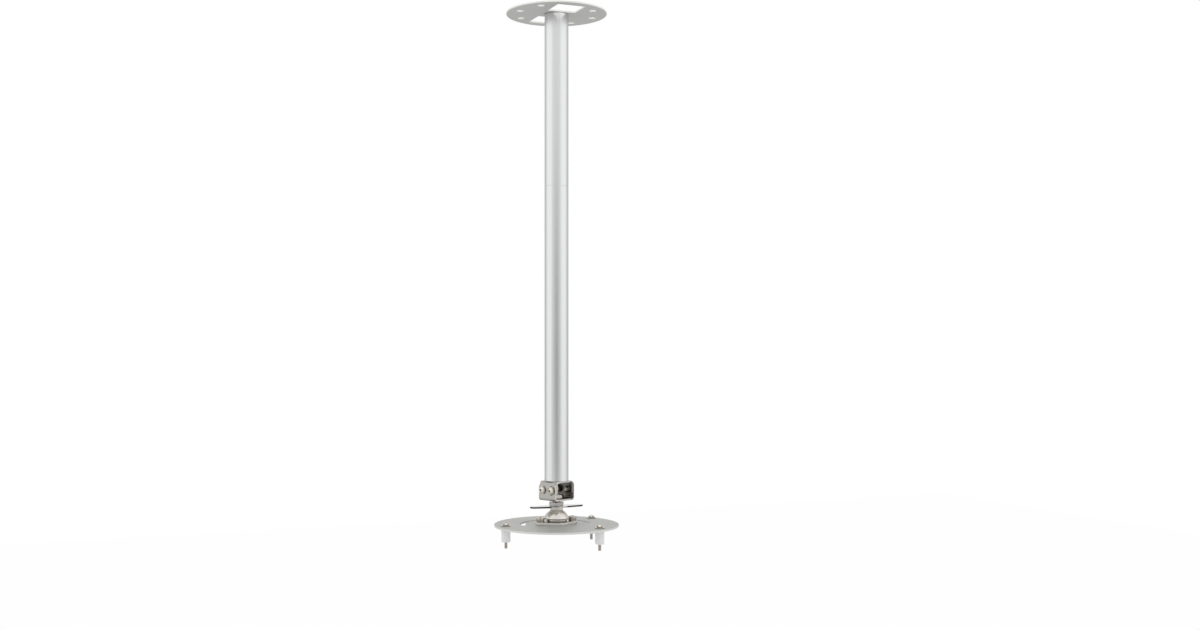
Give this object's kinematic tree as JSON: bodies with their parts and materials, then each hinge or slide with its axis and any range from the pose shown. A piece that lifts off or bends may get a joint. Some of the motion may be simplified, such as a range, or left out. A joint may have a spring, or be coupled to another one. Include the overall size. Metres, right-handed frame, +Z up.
{
  "type": "projector ceiling mount",
  "caption": "Ceiling mount with a round ceiling plate on a straight pole, a tilting bracket and a lockable ball joint that carries a slotted round plate with screws and spacers.",
  "frame": {"origin": "middle of the ceiling plate's top face, which meets the ceiling", "axes": "+Z up, out of the ceiling plate; +X along the ball joint's flange; the cable windows lie along Y"},
  "size_m": [0.155, 0.155, 0.6634],
  "materials": {
    "pole": "satin anodised",
    "plates": "satin silver-grey paint",
    "bracket": "satin zinc plate",
    "nickel": "satin nickel plate",
    "lever": "bright nickel plate",
    "screws": "bright nickel plate",
    "dark_steel": "blackened",
    "nylon": "natural white nylon"
  },
  "bodies": {
    "pole": {"ceiling_plate": "plates", "ceiling_screws": "screws", "upper_tube": "pole", "lower_tube": "pole", "joint_sleeve": "pole", "top_plug": "pole", "bottom_plug": "pole", "pole_grub_screws": "dark_steel", "upper_yoke": "bracket", "foot_screws": "screws", "tilt_pivot_screws": "screws", "tilt_lock_screws": "screws", "tilt_washers": "screws", "tilt_nuts": "screws"},
    "bracket": {"lower_yoke": "bracket", "ball_stud": "screws", "stud_nut": "screws"},
    "lock": {"wing_lever": "lever", "wing_nut": "lever"},
    "swivel": {"cup_washer": "nickel"},
    "seat": {"ball_seat": "nylon"},
    "projector_side": {"ball_socket": "nickel", "socket_flange": "nickel", "flange_screws": "screws", "flange_nuts": "screws", "projector_plate": "plates", "projector_screws": "screws", "projector_washers": "screws", "spacer_1": "nylon", "spacer_2": "nylon", "spacer_3": "nylon"}
  },
  "joints": [
    {"name": "bracket_tilt", "type": "hinge", "parent": "pole", "child": "bracket", "pos_m": [-0.00317, 0.0068, -0.593], "axis": [0.9063, 0.4226, 0], "range_deg": [-12, 12]},
    {"name": "lock_turn", "type": "hinge", "parent": "bracket", "child": "lock", "pos_m": [0, 0, -0.615], "axis": [0, 0, 1], "range_deg": [0, 360]},
    {"name": "ball_swivel", "type": "hinge", "parent": "bracket", "child": "swivel", "pos_m": [0, 0, -0.6335], "axis": [0, 0, 1], "continuous": true},
    {"name": "ball_roll", "type": "hinge", "parent": "swivel", "child": "seat", "pos_m": [0, 0, -0.6335], "axis": [0, 1, 0], "range_deg": [-10, 10]},
    {"name": "ball_pitch", "type": "hinge", "parent": "seat", "child": "projector_side", "pos_m": [0, 0, -0.6335], "axis": [1, 0, 0], "range_deg": [-10, 10]}
  ]
}
